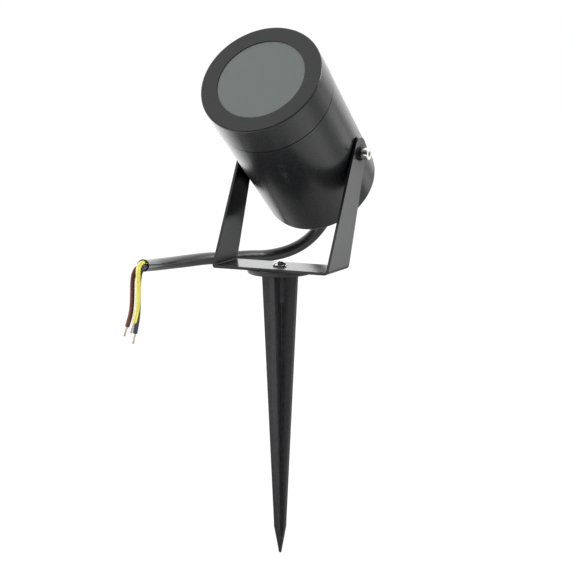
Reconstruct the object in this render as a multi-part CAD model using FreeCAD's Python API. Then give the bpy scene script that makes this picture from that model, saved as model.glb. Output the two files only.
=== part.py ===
"""Garden spike spotlight: a turned metal head on a U bracket, on a plastic ground spike.

Frame: +Z up, X along the tilt axis, the lamp shines towards -Y.
The origin is on the spike's axis, in the underside of its flange, which is the ground line.
Millimetres throughout.
"""
import FreeCAD, Part
import math
import os
from FreeCAD import Placement, Rotation, Vector

os.makedirs("parts", exist_ok=True)

# ---------------------------------------------------------------- fits
SLIDE_FIT = 0.05          # radial clearance between turned pieces that move on each other
SHANK_FIT = 0.06          # radial clearance of a screw shank in the hole that turns round it
LOOSE_FIT = 0.2           # radial room round a piece that only drops into its seat
PAST = 1.0                # how far a cutting tool runs past the face it opens

# ---------------------------------------------------------------- screws
M4_R = 2.0
M4_HEAD_R = 3.4
M4_HEAD_H = 4.0
M4_HEAD_EDGE_R = 0.4
M4_HEAD_FOOT = 0.25       # chamfer under the head
M4_SOCKET_AF = 3.0
M4_SOCKET_DEPTH = 2.2
FLAT_WASHER_R = 4.0
FLAT_WASHER_T = 0.5
SPRING_WASHER_R = 3.7
SPRING_WASHER_T = 1.0
SPRING_WASHER_SPLIT = 0.7
PAN_HEAD_R = 4.0
PAN_HEAD_H = 2.6
PAN_DOME_R = 5.2
BASE_SCREW_LENGTH = 16.0  # under the strip
CROSS_SLOT_W = 0.9
CROSS_SLOT_L = 4.2
CROSS_SLOT_DEPTH = 1.5
M3_R = 1.5
M3_HEAD_R = 2.75
M3_HEAD_H = 1.8
M3_SLOT_W = 0.8
M3_SLOT_DEPTH = 0.9

# ---------------------------------------------------------------- ground spike
FLANGE_R = 18.3
FLANGE_T = 2.6
FLANGE_EDGE_R = 1.4
SPIKE_LENGTH = 160.6      # ground line to tip
FIN_TOP_HALF = 10.6       # half-width across a pair of fins at the flange
FIN_LOW_HALF = 3.1        # the same where the point begins
FIN_T = 3.0
POINT_LENGTH = 14.5
POINT_HALF = 0.7
POINT_TRIM = 0.25         # the cone that blunts the point is this much wider than the fins
BOSS_WALL = 1.9           # plastic round the base screw
BOSS_END = 4.6            # plastic past the screw's end
SPIKE_CORE_TOP_R = 2.5
SPIKE_CORE_LOW_R = 1.6

# ---------------------------------------------------------------- U bracket
STRIP_T = 1.5
BEND_INNER_R = 0.6
BASE_HALF = 14.2          # half the strip's width where it lies on the flange
ARM_END_R = 7.7
ARM_END_RISE = 1.4        # the rounded end's centre lies this far past the pivot, along the arm
ARM_GAP = 0.4             # between each arm and the side of the head at the pivot
PIVOT_Y = 29.6
PIVOT_RISE = 63.15        # pivot above the strip's underside

# ---------------------------------------------------------------- lamp and holder
LAMP_R = 25.0
LAMP_RIM_H = 4.0
LAMP_RIM_WALL = 1.8
LAMP_BODY_LENGTH = 47.0
LAMP_BOWL_LENGTH = 27.0
LAMP_BOWL_MID = 14.0      # where along the bowl its waist is measured
LAMP_BOWL_DROP = 3.4      # and how far the bowl has drawn in there
LAMP_NECK_R = 14.0
LAMP_FOOT_R = 11.5
LAMP_FOOT_H = 6.0
LAMP_FOOT_SLOPE = 2.0
LAMP_LENS_T = 1.6
PIN_SPACING = 10.0
PIN_R = 1.6
PIN_HEAD_R = 2.4
PIN_LENGTH = 7.4
PIN_HEAD_H = 2.6
PIN_END_ROOM = 0.6
HOLDER_WALL = 3.3
HOLDER_LENGTH = 17.0
HOLDER_CUP_DEPTH = 3.0
HOLDER_SCREW_OFFSET = 9.2
HOLDER_SCREW_LENGTH = 7.0
PLATE_T = 1.2
PLATE_HALF_WIDTH = 7.0
PLATE_CORNER_R = 3.0
PLATE_END = 4.7           # strap past its outer screws
PLATE_SCREW_LENGTH = 8.0
POST_R = 4.2
POST_ROOM = 2.4           # between each post and the side wall
BLOCK_HALF_X = 9.0
BLOCK_HALF_Z = 5.0
BLOCK_LENGTH = 10.0
BLOCK_POLE_X = 6.0        # outer poles; the middle pole is the earth
BLOCK_GROOVE_HALF = 0.6
BLOCK_GROOVE_DEPTH = 2.0
BLOCK_FIXING_DROP = 2.0
BLOCK_SCREW_R = 1.6
BLOCK_SCREW_H = 0.8
BLOCK_SCREW_DEPTHS = (0.3, 0.7)   # along the block, as shares of its length
EARTH_ENTRY_RISE = 2.4
LEAD_R = 1.0
LEAD_SIDE = 3.6           # the leads pass the block at this distance
LEAD_BEND_R = 3.0

# ---------------------------------------------------------------- head, measured back from its front face
HEAD_TILT = 39.2          # lamp axis above the horizontal
PIVOT_BACK = 69.5         # front face to tilt axis
LAMP_ROOM = 2.8           # round the lamp, inside the spigot
SPIGOT_WALL = 3.2
THREAD_DEPTH = 0.5
THREAD_CHAMFER = 0.4
BEZEL_WALL = 3.45
BEZEL_LENGTH = 20.0
BEZEL_EDGE_R = 0.9
SEAM_GAP = 0.5            # open groove between the front ring and the body's shoulder
SEAM_CHAMFER = 0.15
SEAM_STEP = 0.2           # the body is this much smaller in radius than the front ring
LIP_T = 0.5
LIP_OVERLAP = 4.6         # of the front ring's lip over the glass
GLASS_T = 4.0
GLASS_LEDGE = 1.5         # step between the glass seat and the threaded bore
GASKET_T = 1.5
GASKET_WIDTH = 3.5
GASKET_SQUEEZE = 0.5      # the threaded bore starts this far in front of the spigot
LAMP_SETBACK = 3.0        # lamp behind the spigot's front end
PILOT_LENGTH = 5.2
ORING_WIRE_R = 0.95
ORING_GROOVE_W = 2.2
ORING_SETBACK = 2.6       # seal's centre in front of the body's shoulder
BODY_DRAFT = 1.8          # the body's radius shrinks by this towards the rear
BODY_WALL = 3.6
REAR_EDGE_R = 1.6
REAR_WALL = 4.0
CAVITY_SHOULDER = 6.0     # the cavity widens this far behind the seam
CAVITY_SLOPE = 2.0
WIRING_ROOM = 8.6         # between the terminal block and the stripped cable
PIVOT_BOSS_R = 8.0
PIVOT_BOSS_IN = 10.5      # how far the boss reaches into the cavity from the arm's face
PIVOT_SCREW_GRIP = 9.0    # shank inside the housing boss

# ---------------------------------------------------------------- cable and its gland
CABLE_R = 3.5
CORE_R = 1.3
CORE_GAP = 0.05           # the three cores all but touch inside the sheath
WIRE_R = 0.65
EXIT_RUN = 12.0
CORE_EXIT_RUN = 3.6
SEAL_WALL = 1.1
STEM_WALL = 1.4           # of the gland's threaded stem, round its bore
SPOUT_WALL = 1.2
SPOUT_H = 3.4
SPOUT_SLOT_W = 0.8
GLAND_BASE_RIM = 2.5      # flats of the gland's base past its stem
GLAND_BASE_H = 2.6
GLAND_NUT_WALL = 1.7
GLAND_NUT_H = 6.1
GLAND_NUT_DOME = 1.8
GLAND_RING_WIDTH = 1.4
GLAND_RING_T = 0.8
GLAND_RECESS_ROOM = 2.7   # round the corners of the gland's base
GLAND_RECESS_DEPTH = 4.0
GLAND_PAD_EDGE = 3.0
GLAND_PAD_WALL = 3.6
LOCKNUT_RIM = 2.0
LOCKNUT_T = 2.4
STUB_INSIDE = 1.6         # cable sheath that stands past the lock nut

# ---------------------------------------------------------------- worked out from the sizes above
# rings of the head, from the lamp outwards
SPIGOT_BORE_R = LAMP_R + LAMP_ROOM
SPIGOT_THREAD_R = SPIGOT_BORE_R + SPIGOT_WALL
SPIGOT_R = SPIGOT_THREAD_R + THREAD_DEPTH
BEZEL_BORE_R = SPIGOT_R + SLIDE_FIT
HEAD_R = BEZEL_BORE_R + BEZEL_WALL
GLASS_SEAT_R = BEZEL_BORE_R - GLASS_LEDGE
GLASS_R = GLASS_SEAT_R - SLIDE_FIT
LIP_R = GLASS_R - LIP_OVERLAP
GASKET_INNER_R = GLASS_R - GASKET_WIDTH
BODY_FRONT_R = HEAD_R - SEAM_STEP
BODY_REAR_R = BODY_FRONT_R - BODY_DRAFT
CAVITY_FRONT_R = BODY_FRONT_R - BODY_WALL
CAVITY_REAR_R = BODY_REAR_R - BODY_WALL
LAMP_LENS_R = LAMP_R - LAMP_RIM_WALL
HOLDER_R = LAMP_FOOT_R + LOOSE_FIT + HOLDER_WALL
PIN_WELL_R = PIN_HEAD_R + LOOSE_FIT
POST_OFFSET = CAVITY_REAR_R - POST_R - POST_ROOM
PLATE_HALF_LENGTH = POST_OFFSET + PLATE_END
LEAD_X = BLOCK_HALF_X + LEAD_SIDE

# the cable and what grips it
CORE_OFFSET = CORE_R / math.cos(math.radians(30)) + CORE_GAP
GLAND_BORE_R = CABLE_R + SEAL_WALL
GLAND_THREAD_R = GLAND_BORE_R + STEM_WALL
SPOUT_R = GLAND_BORE_R + SPOUT_WALL
GLAND_BASE_AF = 2 * (GLAND_THREAD_R + GLAND_BASE_RIM)
GLAND_NUT_AF = 2 * (SPOUT_R + GLAND_NUT_WALL)
GLAND_RING_R = GLAND_THREAD_R + GLAND_RING_WIDTH
LOCKNUT_AF = 2 * (GLAND_THREAD_R + LOCKNUT_RIM)
GLAND_RECESS_R = GLAND_BASE_AF / math.sqrt(3) + GLAND_RECESS_ROOM
GLAND_PAD_R = GLAND_RECESS_R + GLAND_PAD_EDGE

# places along the lamp axis, back from the front face
GLASS_BACK = LIP_T + GLASS_T
SPIGOT_BACK = GLASS_BACK + GASKET_T
LAMP_FRONT_BACK = SPIGOT_BACK + LAMP_SETBACK
BEZEL_END = BEZEL_LENGTH - SEAM_GAP
ORING_BACK = BEZEL_LENGTH - ORING_SETBACK
LAMP_FOOT_BACK = LAMP_FRONT_BACK + LAMP_BODY_LENGTH
HOLDER_BACK = LAMP_FOOT_BACK - HOLDER_CUP_DEPTH
PLATE_BACK = HOLDER_BACK + HOLDER_LENGTH
BLOCK_BACK = PLATE_BACK + PLATE_T
BLOCK_END = BLOCK_BACK + BLOCK_LENGTH
STUB_BACK = BLOCK_END + WIRING_ROOM
LOCKNUT_BACK = STUB_BACK + STUB_INSIDE
PAD_FACE = LOCKNUT_BACK + LOCKNUT_T
GLAND_SEAT = PAD_FACE + GLAND_PAD_WALL
HEAD_LENGTH = GLAND_SEAT + GLAND_RECESS_DEPTH
CAVITY_START = BEZEL_LENGTH + CAVITY_SHOULDER
CAVITY_END = HEAD_LENGTH - REAR_WALL
GLAND_BASE_BACK = GLAND_SEAT + GLAND_RING_T
GLAND_NUT_BACK = GLAND_BASE_BACK + GLAND_BASE_H
GLAND_END = GLAND_NUT_BACK + GLAND_NUT_H

# the bracket lies on the flange, and its arms stand beside the head
STRIP_Z = FLANGE_T
STRIP_TOP = STRIP_Z + STRIP_T
PIVOT_Z = STRIP_Z + PIVOT_RISE
PIVOT_SHARE = (PIVOT_BACK - BEZEL_LENGTH) / (HEAD_LENGTH - BEZEL_LENGTH)
ARM_IN_X = BODY_FRONT_R - BODY_DRAFT * PIVOT_SHARE + ARM_GAP
ARM_OUT_X = ARM_IN_X + STRIP_T
SPIKE_BOSS_R = M4_R + BOSS_WALL
SPIKE_BOSS_LENGTH = BASE_SCREW_LENGTH - FLANGE_T + BOSS_END

NEAR = 0.01               # two places this close are one, when edges and faces are looked up
X_AXIS = Vector(1, 0, 0)
Y_AXIS = Vector(0, 1, 0)
Z_AXIS = Vector(0, 0, 1)
HEAD_PLACE = Placement(Vector(0, PIVOT_Y, PIVOT_Z), Rotation(X_AXIS, -HEAD_TILT))

nodes = {}


def save(name, *solids):
    """Keep one named piece, or a group of like pieces, for export."""
    nodes[name] = solids[0] if len(solids) == 1 else Part.makeCompound(list(solids))


# ---------------------------------------------------------------- small helpers
def at(back, x=0.0, up=0.0):
    """A point of the head before it is tilted: back from the front face, across and up."""
    return Vector(x, back - PIVOT_BACK, up)


def tilted(shape):
    """Carry a shape from the head's own frame to its place on the bracket."""
    placed = shape.copy()
    placed.Placement = HEAD_PLACE.multiply(placed.Placement)
    return placed


def turned(outline):
    """Revolve a closed outline of (back, radius) points about the lamp axis."""
    corners = [at(back, radius) for back, radius in outline]
    face = Part.Face(Part.makePolygon(corners + corners[:1]))
    return face.revolve(at(0), Y_AXIS, 360)


def rod(start, direction, radius, length):
    return Part.makeCylinder(radius, length, start, direction)


def tube(start, direction, outer, inner, length):
    return rod(start, direction, outer, length).cut(rod(start, direction, inner, length))


def prism(points, direction):
    """Extrude a closed polygon."""
    return Part.Face(Part.makePolygon(points + points[:1])).extrude(direction)


def box(low, high):
    size = high - low
    return Part.makeBox(size.x, size.y, size.z, low)


def hexagon(start, direction, across_flats, length):
    """A hexagonal bar from start along direction, with two corners up."""
    corner_r = across_flats / math.sqrt(3)
    turn = Rotation(Z_AXIS, direction)
    corners = []
    for k in range(6):
        angle = math.radians(60 * k + 30)
        corners.append(start + turn.multVec(Vector(corner_r * math.cos(angle), corner_r * math.sin(angle), 0)))
    return prism(corners, direction * length)


def edges_at(shape, test):
    """The edges whose middle satisfies a test."""
    return [edge for edge in shape.Edges if test(edge.CenterOfMass)]


# ---------------------------------------------------------------- ground spike
def make_spike():
    """Moulded spike: round flange, four tapering fins in a cross, screw boss under the flange."""
    point_z = -(SPIKE_LENGTH - POINT_LENGTH)

    def fin_pair(across):
        outline = [(-FIN_TOP_HALF, 0), (FIN_TOP_HALF, 0), (FIN_LOW_HALF, point_z),
                   (POINT_HALF, -SPIKE_LENGTH), (-POINT_HALF, -SPIKE_LENGTH), (-FIN_LOW_HALF, point_z)]
        side = across.cross(Z_AXIS)
        corners = [across * a + Z_AXIS * z - side * (FIN_T / 2) for a, z in outline]
        return prism(corners, side * FIN_T)

    flange = Part.makeCylinder(FLANGE_R, FLANGE_T)
    low_edge = edges_at(flange, lambda c: c.z < NEAR)
    flange = flange.makeFillet(FLANGE_EDGE_R, low_edge[:1])
    boss = Part.makeCylinder(SPIKE_BOSS_R, SPIKE_BOSS_LENGTH - SPIKE_BOSS_R, Vector(0, 0, 0), -Z_AXIS)
    boss_end = Part.makeSphere(SPIKE_BOSS_R, Vector(0, 0, SPIKE_BOSS_R - SPIKE_BOSS_LENGTH))
    core = Part.makeCone(SPIKE_CORE_TOP_R, SPIKE_CORE_LOW_R, -point_z, Vector(0, 0, 0), -Z_AXIS)
    spike = flange.fuse([fin_pair(X_AXIS), fin_pair(Y_AXIS), boss, boss_end, core])
    screw_hole = rod(Vector(0, 0, STRIP_Z), -Z_AXIS, M4_R, BASE_SCREW_LENGTH)
    # the four fins share one slim point: trim its corners to a blunt round tip
    tip = Part.makeCone(FIN_LOW_HALF + POINT_TRIM, POINT_HALF, POINT_LENGTH, Vector(0, 0, point_z), -Z_AXIS)
    reach = FLANGE_R + PAST
    above = box(Vector(-reach, -reach, point_z), Vector(reach, reach, FLANGE_T + PAST))
    return spike.common(above.fuse(tip)).cut(screw_hole).removeSplitter()


def make_base_screw():
    """Cross-recessed pan-head screw that holds the bracket on the spike."""
    head = rod(Vector(0, 0, STRIP_TOP), Z_AXIS, PAN_HEAD_R, PAN_HEAD_H)
    dome = Part.makeSphere(PAN_DOME_R, Vector(0, 0, STRIP_TOP + PAN_HEAD_H - PAN_DOME_R))
    head = head.common(dome)
    shank = rod(Vector(0, 0, STRIP_TOP), -Z_AXIS, M4_R, STRIP_T + BASE_SCREW_LENGTH)
    slot_z = STRIP_TOP + PAN_HEAD_H - CROSS_SLOT_DEPTH
    screw = head.fuse(shank)
    for half_x, half_y in ((CROSS_SLOT_L / 2, CROSS_SLOT_W / 2), (CROSS_SLOT_W / 2, CROSS_SLOT_L / 2)):
        screw = screw.cut(box(Vector(-half_x, -half_y, slot_z),
                              Vector(half_x, half_y, STRIP_TOP + PAN_HEAD_H + PAST)))
    return screw


# ---------------------------------------------------------------- U bracket
def tangent_point(corner, centre, radius, side):
    """Where a line from corner touches a circle, in the Y-Z plane given as (y, z) pairs."""
    dy, dz = corner[0] - centre[0], corner[1] - centre[1]
    distance = math.hypot(dy, dz)
    angle = math.atan2(dz, dy) + side * math.acos(radius / distance)
    return centre[0] + radius * math.cos(angle), centre[1] + radius * math.sin(angle)


def make_bracket():
    """One strip of sheet: cut to its outline, bent up twice, with a hole at the base and at each arm."""
    # the U, seen along Y
    half = ARM_OUT_X
    outer_r = BEND_INNER_R + STRIP_T
    arm_top = PIVOT_Z + 2 * ARM_END_R
    outer = prism([Vector(-half, 0, STRIP_Z), Vector(half, 0, STRIP_Z),
                   Vector(half, 0, arm_top), Vector(-half, 0, arm_top)], Y_AXIS)
    inner = prism([Vector(-ARM_IN_X, 0, STRIP_TOP), Vector(ARM_IN_X, 0, STRIP_TOP),
                   Vector(ARM_IN_X, 0, arm_top + PAST), Vector(-ARM_IN_X, 0, arm_top + PAST)], Y_AXIS)
    outer = outer.makeFillet(outer_r, edges_at(outer, lambda c: abs(c.z - STRIP_Z) < NEAR and abs(c.x) > half - NEAR))
    inner = inner.makeFillet(BEND_INNER_R, edges_at(inner, lambda c: abs(c.z - STRIP_TOP) < NEAR
                                                    and abs(c.x) > ARM_IN_X - NEAR))
    profile = outer.cut(inner)
    front = [face for face in profile.Faces if abs(face.CenterOfMass.y) < NEAR][0]
    start_y = -BASE_HALF - PAST
    end_y = PIVOT_Y + 2 * ARM_END_R + PAST
    front.translate(Vector(0, start_y, 0))
    channel = front.extrude(Y_AXIS * (end_y - start_y))

    # the outline, seen along X: straight base, arms that narrow and lean back, round ends
    lean = math.hypot(PIVOT_Y, PIVOT_RISE)
    centre = (PIVOT_Y + ARM_END_RISE * PIVOT_Y / lean, PIVOT_Z + ARM_END_RISE * PIVOT_RISE / lean)
    low_z = STRIP_Z - PAST
    front_y, back_y = -BASE_HALF, BASE_HALF
    front_touch = tangent_point((front_y, STRIP_Z), centre, ARM_END_R, -1)
    back_touch = tangent_point((back_y, STRIP_Z), centre, ARM_END_R, 1)
    top = (centre[0] + ARM_END_R * PIVOT_Y / lean, centre[1] + ARM_END_R * PIVOT_RISE / lean)

    def yz(point):
        return Vector(-half - PAST, point[0], point[1])

    edges = [Part.makeLine(yz((front_y, low_z)), yz((back_y, low_z))),
             Part.makeLine(yz((back_y, low_z)), yz((back_y, STRIP_Z))),
             Part.makeLine(yz((back_y, STRIP_Z)), yz(back_touch)),
             Part.Arc(yz(back_touch), yz(top), yz(front_touch)).toShape(),
             Part.makeLine(yz(front_touch), yz((front_y, STRIP_Z))),
             Part.makeLine(yz((front_y, STRIP_Z)), yz((front_y, low_z)))]
    blank = Part.Face(Part.Wire(edges)).extrude(X_AXIS * (2 * half + 2 * PAST))
    bracket = channel.common(blank)
    base_hole = rod(Vector(0, 0, STRIP_Z - PAST), Z_AXIS, M4_R + SHANK_FIT, STRIP_T + 2 * PAST)
    pivot_hole = rod(Vector(-half - PAST, PIVOT_Y, PIVOT_Z), X_AXIS, M4_R + SHANK_FIT, 2 * half + 2 * PAST)
    return bracket.cut(base_hole).cut(pivot_hole)


# ---------------------------------------------------------------- pivot hardware, made for +X and mirrored
def pivot_hardware():
    """Flat washer, split spring washer and socket-cap screw on the right-hand arm."""
    pivot = Vector(0, PIVOT_Y, PIVOT_Z)

    def on_axis(x):
        return pivot + Vector(x, 0, 0)

    washer_out = ARM_OUT_X + FLAT_WASHER_T
    spring_out = washer_out + SPRING_WASHER_T
    flat = tube(on_axis(ARM_OUT_X), X_AXIS, FLAT_WASHER_R, M4_R + SHANK_FIT, FLAT_WASHER_T)
    spring = tube(on_axis(washer_out), X_AXIS, SPRING_WASHER_R, M4_R + SHANK_FIT, SPRING_WASHER_T)
    half_split = SPRING_WASHER_SPLIT / 2
    split = box(pivot + Vector(washer_out - PAST, -half_split, M4_R),
                pivot + Vector(spring_out + PAST, half_split, SPRING_WASHER_R + PAST))
    spring = spring.cut(split)
    head = rod(on_axis(spring_out), X_AXIS, M4_HEAD_R, M4_HEAD_H)
    rim = edges_at(head, lambda c: c.x > spring_out + M4_HEAD_H - NEAR)
    head = head.makeFillet(M4_HEAD_EDGE_R, rim[:1])
    foot = edges_at(head, lambda c: c.x < spring_out + NEAR)
    head = head.makeChamfer(M4_HEAD_FOOT, foot[:1])
    socket_start = on_axis(spring_out + M4_HEAD_H - M4_SOCKET_DEPTH)
    head = head.cut(hexagon(socket_start, X_AXIS, M4_SOCKET_AF, M4_SOCKET_DEPTH + PAST))
    shank_length = spring_out - ARM_IN_X + PIVOT_SCREW_GRIP
    screw = head.fuse(rod(on_axis(spring_out), -X_AXIS, M4_R, shank_length))
    return flat, spring, screw


# ---------------------------------------------------------------- head castings
def outer_rim(shape, back, radius):
    """The round edge of a turned piece at this place and radius."""
    plane_y = at(back).y
    return [edge for edge in shape.Edges
            if abs(edge.CenterOfMass.y - plane_y) < NEAR and abs(edge.BoundBox.XMax - radius) < NEAR]


def make_bezel():
    """Screw-on front ring: thin lip over the glass, seat for glass and gasket, bore for the spigot."""
    bore_back = SPIGOT_BACK - GASKET_SQUEEZE
    bezel = turned([(0, LIP_R), (0, HEAD_R), (BEZEL_END, HEAD_R), (BEZEL_END, BEZEL_BORE_R),
                    (bore_back, BEZEL_BORE_R), (bore_back, GLASS_SEAT_R), (LIP_T, GLASS_SEAT_R), (LIP_T, LIP_R)])
    bezel = bezel.makeFillet(BEZEL_EDGE_R, outer_rim(bezel, 0, HEAD_R))
    return bezel.makeChamfer(SEAM_CHAMFER, outer_rim(bezel, BEZEL_END, HEAD_R))


def make_housing():
    """Die-cast body: threaded spigot, drafted can, recessed rear wall, bosses and posts inside."""
    groove_front = ORING_BACK - ORING_GROOVE_W / 2
    groove_back = ORING_BACK + ORING_GROOVE_W / 2
    groove_r = SPIGOT_R - 2 * ORING_WIRE_R
    pilot_back = BEZEL_LENGTH - PILOT_LENGTH
    outside = turned([(SPIGOT_BACK, 0), (SPIGOT_BACK, SPIGOT_THREAD_R - THREAD_CHAMFER),
                      (SPIGOT_BACK + THREAD_CHAMFER, SPIGOT_THREAD_R),
                      (pilot_back, SPIGOT_THREAD_R), (pilot_back + THREAD_DEPTH, SPIGOT_R),
                      (groove_front, SPIGOT_R), (groove_front, groove_r), (groove_back, groove_r),
                      (groove_back, SPIGOT_R), (BEZEL_LENGTH, SPIGOT_R),
                      (BEZEL_LENGTH, BODY_FRONT_R - SEAM_CHAMFER), (BEZEL_LENGTH + SEAM_CHAMFER, BODY_FRONT_R),
                      (HEAD_LENGTH, BODY_REAR_R), (HEAD_LENGTH, 0)])
    outside = outside.makeFillet(REAR_EDGE_R, outer_rim(outside, HEAD_LENGTH, BODY_REAR_R))
    for side in (-1, 1):
        outside = outside.fuse(rod(Vector(side * ARM_IN_X, 0, 0), X_AXIS * -side, PIVOT_BOSS_R, BODY_WALL))
    inside = turned([(SPIGOT_BACK - PAST, 0), (SPIGOT_BACK - PAST, SPIGOT_BORE_R), (CAVITY_START, SPIGOT_BORE_R),
                     (CAVITY_START + CAVITY_SLOPE, CAVITY_FRONT_R), (CAVITY_END, CAVITY_REAR_R), (CAVITY_END, 0)])
    can = outside.cut(inside)
    extras = [rod(Vector(side * (ARM_IN_X - PIVOT_BOSS_IN), 0, 0), X_AXIS * side, PIVOT_BOSS_R,
                  PIVOT_BOSS_IN - BODY_WALL / 2) for side in (-1, 1)]
    extras += [rod(at(BLOCK_BACK, 0, side * POST_OFFSET), Y_AXIS, POST_R, CAVITY_END - BLOCK_BACK + PAST)
               for side in (-1, 1)]
    extras.append(rod(at(PAD_FACE), Y_AXIS, GLAND_PAD_R, GLAND_PAD_WALL + PAST))
    can = can.fuse(extras)
    can = can.cut(rod(at(GLAND_SEAT), Y_AXIS, GLAND_RECESS_R, GLAND_RECESS_DEPTH + PAST))
    can = can.cut(rod(at(PAD_FACE - PAST), Y_AXIS, GLAND_THREAD_R, GLAND_PAD_WALL + 2 * PAST))
    for side in (-1, 1):
        can = can.cut(rod(Vector(side * (ARM_IN_X + PAST), 0, 0), X_AXIS * -side, M4_R, PIVOT_SCREW_GRIP + PAST))
        can = can.cut(rod(at(PLATE_BACK, 0, side * POST_OFFSET), Y_AXIS, M3_R, PLATE_T + PLATE_SCREW_LENGTH))
    return can.removeSplitter()


def make_o_ring():
    """Round-section seal in the spigot's groove, under the bezel's rear end."""
    ring = Part.makeTorus(SPIGOT_R - ORING_WIRE_R, ORING_WIRE_R, at(ORING_BACK), Y_AXIS)
    return ring


# ---------------------------------------------------------------- lamp, holder and wiring inside the head
def make_lamp_body():
    """Reflector lamp: rim, bowl, neck and foot, with a seat for its front lens."""
    front = LAMP_FRONT_BACK
    rim_end = front + LAMP_RIM_H
    bowl = [at(rim_end, LAMP_R), at(rim_end + LAMP_BOWL_MID, LAMP_R - LAMP_BOWL_DROP),
            at(rim_end + LAMP_BOWL_LENGTH, LAMP_NECK_R)]
    foot = LAMP_FOOT_BACK
    foot_front = foot - LAMP_FOOT_H
    neck_end = foot_front - LAMP_FOOT_SLOPE
    edges = [Part.makeLine(at(front + LAMP_LENS_T), at(front + LAMP_LENS_T, LAMP_LENS_R)),
             Part.makeLine(at(front + LAMP_LENS_T, LAMP_LENS_R), at(front, LAMP_LENS_R)),
             Part.makeLine(at(front, LAMP_LENS_R), at(front, LAMP_R)),
             Part.makeLine(at(front, LAMP_R), bowl[0]),
             Part.Arc(*bowl).toShape(),
             Part.makeLine(bowl[2], at(neck_end, LAMP_NECK_R)),
             Part.makeLine(at(neck_end, LAMP_NECK_R), at(foot_front, LAMP_FOOT_R)),
             Part.makeLine(at(foot_front, LAMP_FOOT_R), at(foot, LAMP_FOOT_R)),
             Part.makeLine(at(foot, LAMP_FOOT_R), at(foot)),
             Part.makeLine(at(foot), at(front + LAMP_LENS_T))]
    return Part.Face(Part.Wire(edges)).revolve(at(0), Y_AXIS, 360)


def lamp_pins():
    pins = []
    for side in (-1, 1):
        x = side * PIN_SPACING / 2
        stem = rod(at(LAMP_FOOT_BACK, x), Y_AXIS, PIN_R, PIN_LENGTH)
        knob = rod(at(LAMP_FOOT_BACK + PIN_LENGTH - PIN_HEAD_H, x), Y_AXIS, PIN_HEAD_R, PIN_HEAD_H)
        pins.append(stem.fuse(knob))
    return pins


def make_holder():
    """Ceramic lamp holder: shallow cup for the lamp's foot and a well for each pin."""
    holder = rod(at(HOLDER_BACK), Y_AXIS, HOLDER_R, HOLDER_LENGTH)
    holder = holder.cut(rod(at(HOLDER_BACK - PAST), Y_AXIS, LAMP_FOOT_R + LOOSE_FIT, HOLDER_CUP_DEPTH + PAST))
    for side in (-1, 1):
        well = rod(at(LAMP_FOOT_BACK, side * PIN_SPACING / 2), Y_AXIS, PIN_WELL_R, PIN_LENGTH + PIN_END_ROOM)
        holder = holder.cut(well)
        thread = rod(at(PLATE_BACK, 0, side * HOLDER_SCREW_OFFSET), -Y_AXIS, M3_R, HOLDER_SCREW_LENGTH)
        holder = holder.cut(thread)
    return holder


def make_plate():
    """Sheet-steel strap that carries the lamp holder across the two posts."""
    plate = box(at(PLATE_BACK, -PLATE_HALF_WIDTH, -PLATE_HALF_LENGTH),
                at(PLATE_BACK + PLATE_T, PLATE_HALF_WIDTH, PLATE_HALF_LENGTH))
    corners = [edge for edge in plate.Edges if abs(edge.BoundBox.YLength - PLATE_T) < NEAR]
    plate = plate.makeFillet(PLATE_CORNER_R, corners)
    for offset in (HOLDER_SCREW_OFFSET, POST_OFFSET):
        for side in (-1, 1):
            plate = plate.cut(rod(at(PLATE_BACK - PAST, 0, side * offset), Y_AXIS, M3_R, PLATE_T + 2 * PAST))
    return plate.cut(rod(at(PLATE_BACK - PAST, 0, -BLOCK_FIXING_DROP), Y_AXIS, M3_R, PLATE_T + 2 * PAST))


def m3_screw(seat, direction, length):
    """Slotted cheese-head screw: its head sits at seat, its shank runs along direction."""
    head = rod(seat, direction * -1, M3_HEAD_R, M3_HEAD_H)
    across = X_AXIS * (M3_HEAD_R + PAST)
    half_w = Vector(0, 0, M3_SLOT_W / 2)
    bottom = seat - direction * (M3_HEAD_H - M3_SLOT_DEPTH)
    slot = prism([bottom - across - half_w, bottom + across - half_w, bottom + across + half_w,
                  bottom - across + half_w], direction * -(M3_SLOT_DEPTH + PAST))
    return head.cut(slot).fuse(rod(seat, direction, M3_R, length))


def make_terminal_block():
    """Three-pole screw terminal seated on the back of the strap, with ribs between its poles."""
    block = box(at(BLOCK_BACK, -BLOCK_HALF_X, -BLOCK_HALF_Z), at(BLOCK_END, BLOCK_HALF_X, BLOCK_HALF_Z))
    for side in (-1, 1):
        x = side * BLOCK_POLE_X / 2
        groove = box(at(BLOCK_BACK - PAST, x - BLOCK_GROOVE_HALF, BLOCK_HALF_Z - BLOCK_GROOVE_DEPTH),
                     at(BLOCK_END + PAST, x + BLOCK_GROOVE_HALF, BLOCK_HALF_Z + PAST))
        block = block.cut(groove)
    return block.cut(rod(at(BLOCK_END + PAST, 0, -BLOCK_FIXING_DROP), -Y_AXIS, M3_R, BLOCK_LENGTH + 2 * PAST))


def block_screws():
    screws = []
    for x in (-BLOCK_POLE_X, 0, BLOCK_POLE_X):
        for depth in BLOCK_SCREW_DEPTHS:
            seat = at(BLOCK_BACK + depth * BLOCK_LENGTH, x, BLOCK_HALF_Z)
            screws.append(rod(seat, Z_AXIS, BLOCK_SCREW_R, BLOCK_SCREW_H))
    return screws


ARC_SHARE = 0.45          # each arc takes this share of the shorter run beside it


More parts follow.
